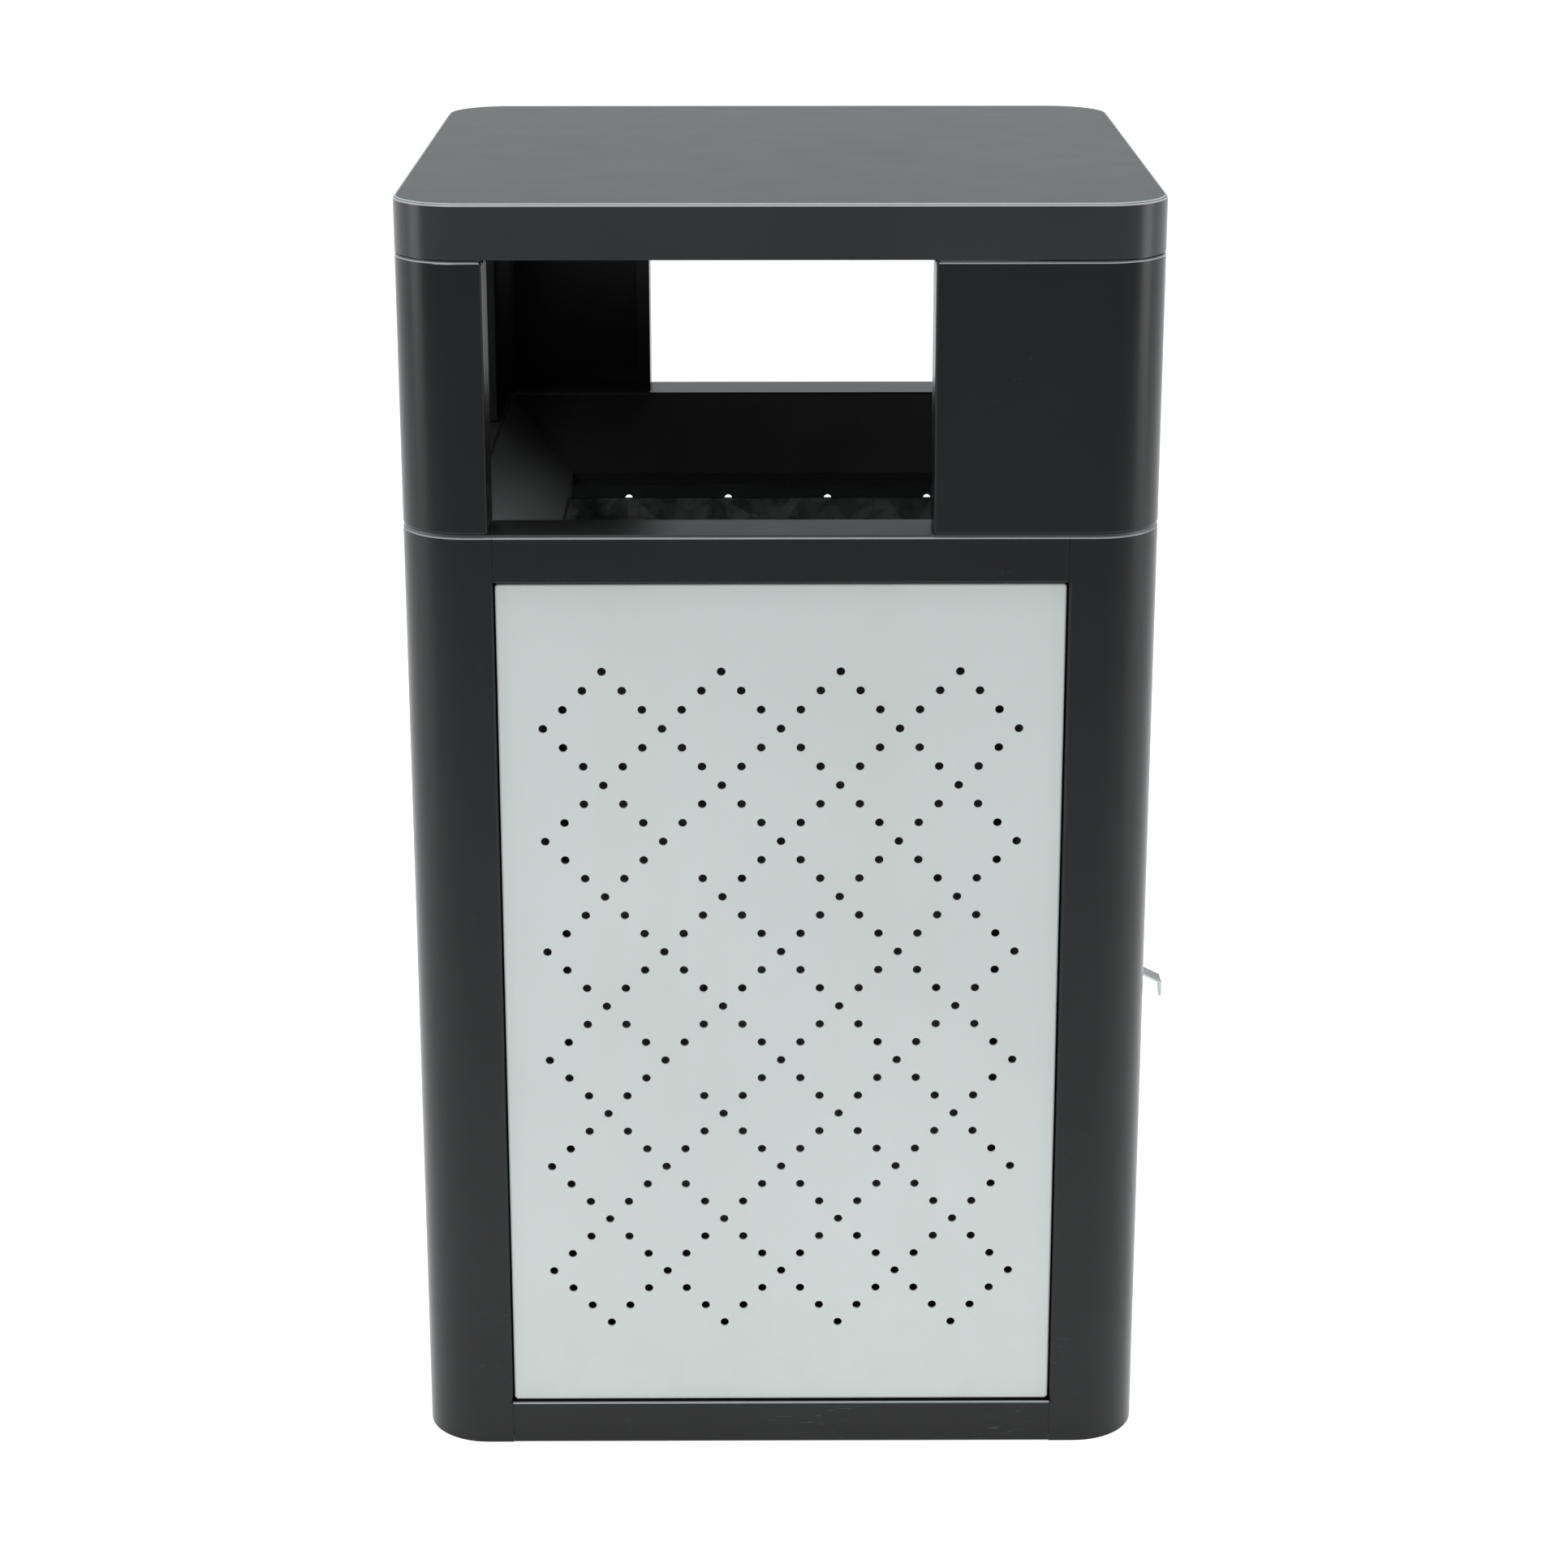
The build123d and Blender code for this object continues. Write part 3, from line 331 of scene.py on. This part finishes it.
def dress_nodes(materials):
    """Give every CAD node the material of its slot; hopper and lid get lighter variants of the coat, a
    painted lightening for the brighter light they catch.
    """
    slots = {part["node"]: part["material_slot"] for part in frame["record"]["subparts"]}
    chosen = {name: materials[slots[name]] for name in frame["nodes"]}
    # Painted light: the hopper and lid coats are lighter copies of the same black coat, for the light
    # these surfaces catch.
    chosen["hopper"] = black_coat("black hopper coat", 1.2, 0.33, 0.80, 0.42)
    chosen["lid"] = black_coat("black lid coat", 3.0, 0.24, 0.34, 0.30)
    for name, node in frame["nodes"].items():
        node.data.materials.clear()
        node.data.materials.append(chosen[name])


# ---------------------------------------------------------------- studio

def make_camera():
    """A long lens in front of the bin, looking down on it."""
    data = bpy.data.cameras.new("camera")
    data.sensor_width = IMAGE_SENSOR
    data.lens = CAMERA_LENS
    data.shift_y = CAMERA_SHIFT
    camera = bpy.data.objects.new("camera", data)
    bpy.context.scene.collection.objects.link(camera)
    camera.location = (CAMERA_SIDE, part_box("panel_front")[0].y - CAMERA_DISTANCE, CAMERA_HEIGHT)
    camera.rotation_euler = (math.radians(90 - CAMERA_PITCH), 0, -math.radians(CAMERA_YAW))
    bpy.context.scene.camera = camera


def world_range(nodes, links, value, start, end, low, high):
    """Map a part of the view direction to a brightness, clamped."""
    node = nodes.new("ShaderNodeMapRange")
    links.new(value, node.inputs["Value"])
    node.inputs["From Min"].default_value = start
    node.inputs["From Max"].default_value = end
    node.inputs["To Min"].default_value = low
    node.inputs["To Max"].default_value = high
    return node.outputs[0]


def world_math(nodes, links, operation, a, b):
    """Combine two brightnesses."""
    node = nodes.new("ShaderNodeMath")
    node.operation = operation
    links.new(a, node.inputs[0])
    links.new(b, node.inputs[1])
    return node.outputs[0]


def make_world():
    """A pale, slightly blue surround, dimmer in front of the bin and just above the horizon."""
    world = bpy.data.worlds.new("studio")
    bpy.context.scene.world = world
    world.use_nodes = True
    nodes = world.node_tree.nodes
    links = world.node_tree.links
    split = nodes.new("ShaderNodeSeparateXYZ")
    links.new(nodes.new("ShaderNodeTexCoord").outputs["Generated"], split.inputs[0])
    level = world_range(nodes, links, split.outputs["Y"], *FRONT_TO_BACK, WORLD_FRONT, WORLD_BACK)
    below = world_range(nodes, links, split.outputs["Z"], *BAND_FALL, 1.0, HORIZON)
    above = world_range(nodes, links, split.outputs["Z"], *BAND_RISE, HORIZON, 1.0)
    band = world_math(nodes, links, "MAXIMUM", below, above)
    background = nodes["Background"]
    background.inputs["Color"].default_value = SKY
    links.new(world_math(nodes, links, "MULTIPLY", level, band), background.inputs["Strength"])


def make_floor():
    """A wide pale floor that glows near the bin as painted light, and is painted darker some way in
    front of the bin as painted shade.
    """
    mesh = bpy.data.meshes.new("floor")
    half = FLOOR_SIZE / 2
    corners = [(-half, -half, 0), (half, -half, 0), (half, half, 0), (-half, half, 0)]
    mesh.from_pydata(corners, [], [(0, 1, 2, 3)])
    floor = bpy.data.objects.new("floor", mesh)
    bpy.context.scene.collection.objects.link(floor)
    shader = Shader("floor")
    # Painted shade darkens the floor in front; painted light makes it glow near the bin.
    forward = shader.fade(shader.axis(shader.place, "Y"), *FLOOR_FADE)
    colour = shader.mix(forward, FLOOR_NEAR, FLOOR_FRONT)
    glow = shader.fade(forward, 0.0, 1.0, FLOOR_GLOW, 0.0)
    mesh.materials.append(shader.finish(Base_Color=colour, Roughness=0.7, Emission_Color=(1, 1, 1, 1),
                                        Emission_Strength=glow))


def softbox(name, place, size, power):
    """A rectangular area light aimed at the bin."""
    data = bpy.data.lights.new(name, "AREA")
    data.shape = "RECTANGLE"
    data.size, data.size_y = size
    data.energy = power
    light = bpy.data.objects.new(name, data)
    bpy.context.scene.collection.objects.link(light)
    light.location = place
    aim = Vector(LIGHT_TARGET) - Vector(place)
    light.rotation_euler = aim.to_track_quat("-Z", "Y").to_euler()


def make_lights():
    """All four softboxes."""
    for row in LIGHTS:
        softbox(*row)


bpy.context.scene.view_settings.view_transform = "Standard"
make_camera()
make_world()
make_floor()
make_lights()
dress_nodes(make_materials())
